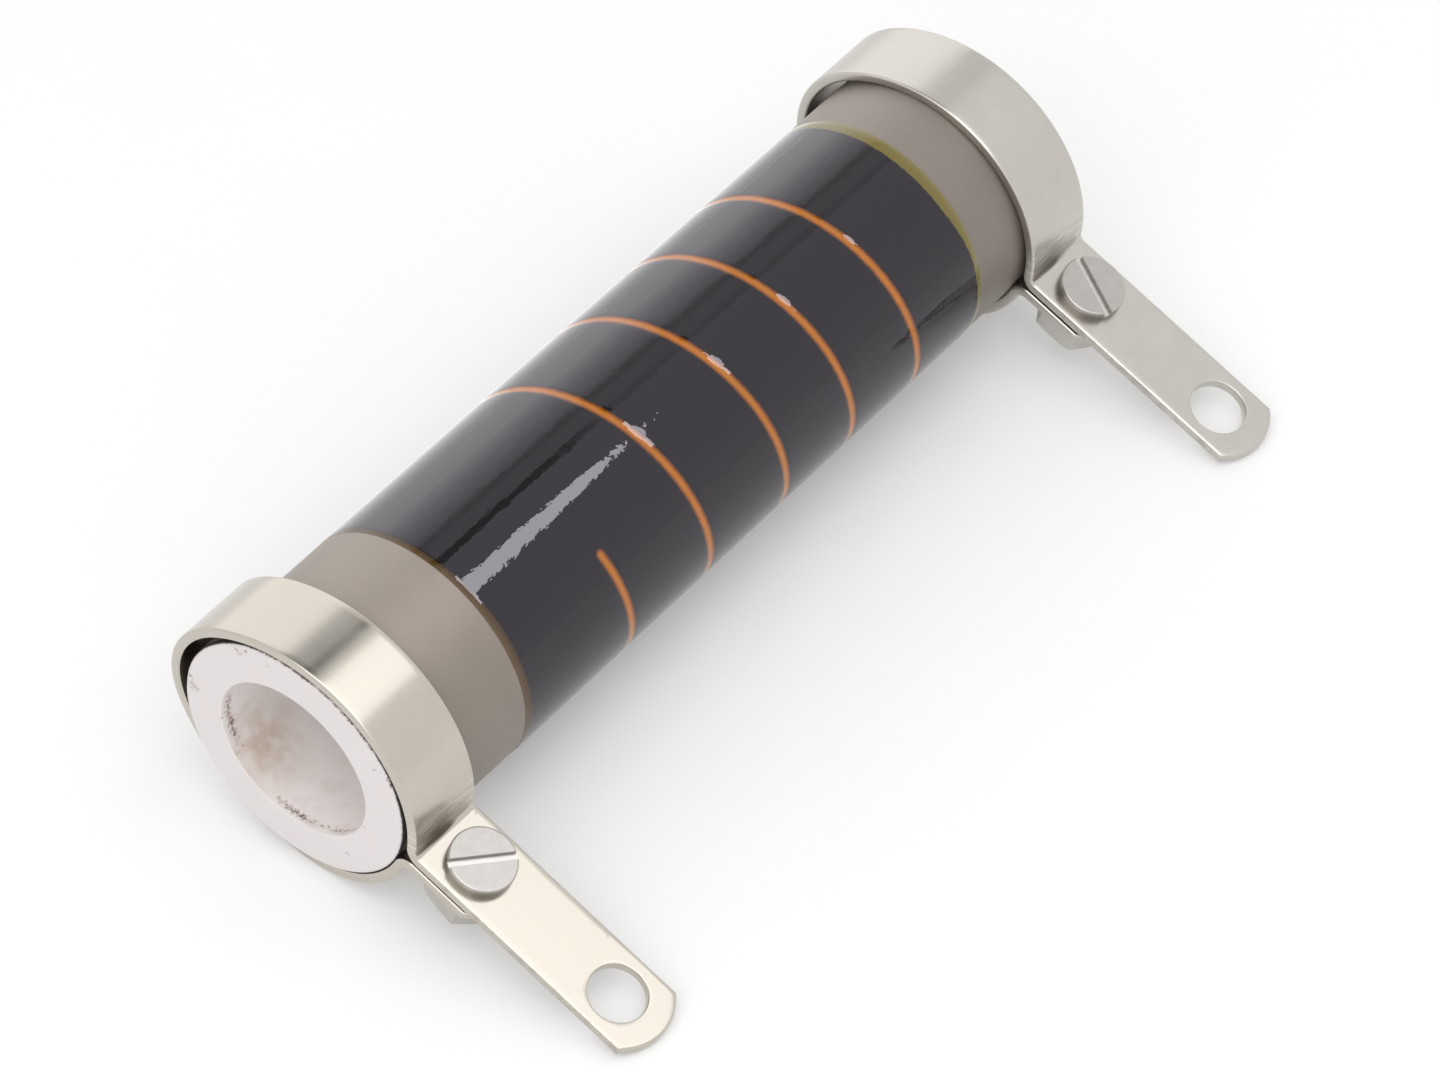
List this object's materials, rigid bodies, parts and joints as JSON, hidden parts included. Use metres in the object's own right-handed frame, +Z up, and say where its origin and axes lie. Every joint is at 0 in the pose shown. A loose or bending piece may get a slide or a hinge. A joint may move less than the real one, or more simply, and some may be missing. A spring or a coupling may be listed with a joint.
{
  "type": "tubular thick film power resistor",
  "caption": "Tubular power resistor: a ceramic tube with a trimmed resistor film under varnish, and a clamp-band terminal with a drilled lug at each end.",
  "frame": {"origin": "the middle of the tube's bore, on its axis", "axes": "+X along the tube towards its front end, +Y towards the lugs' side, +Z up; it lies on the floor at z = -15.55 mm, on its two bands and two lug tips"},
  "size_m": [0.112, 0.0599, 0.031],
  "materials": {
    "ceramic": "matte, fired white",
    "conductor": "satin, fired silver-grey",
    "film": "matte black",
    "varnish": "glossy, amber over black",
    "plated_strap": "satin nickel plate",
    "plated_screw": "satin nickel plate",
    "plated_nut": "satin nickel plate"
  },
  "bodies": {
    "root": {"ceramic_tube": "ceramic", "front_conductor_film": "conductor", "rear_conductor_film": "conductor", "resistor_film": "film", "overcoat": "varnish", "front_band_terminal": "plated_strap", "rear_band_terminal": "plated_strap", "front_screw": "plated_screw", "rear_screw": "plated_screw", "front_nut": "plated_nut", "rear_nut": "plated_nut"}
  },
  "joints": []
}
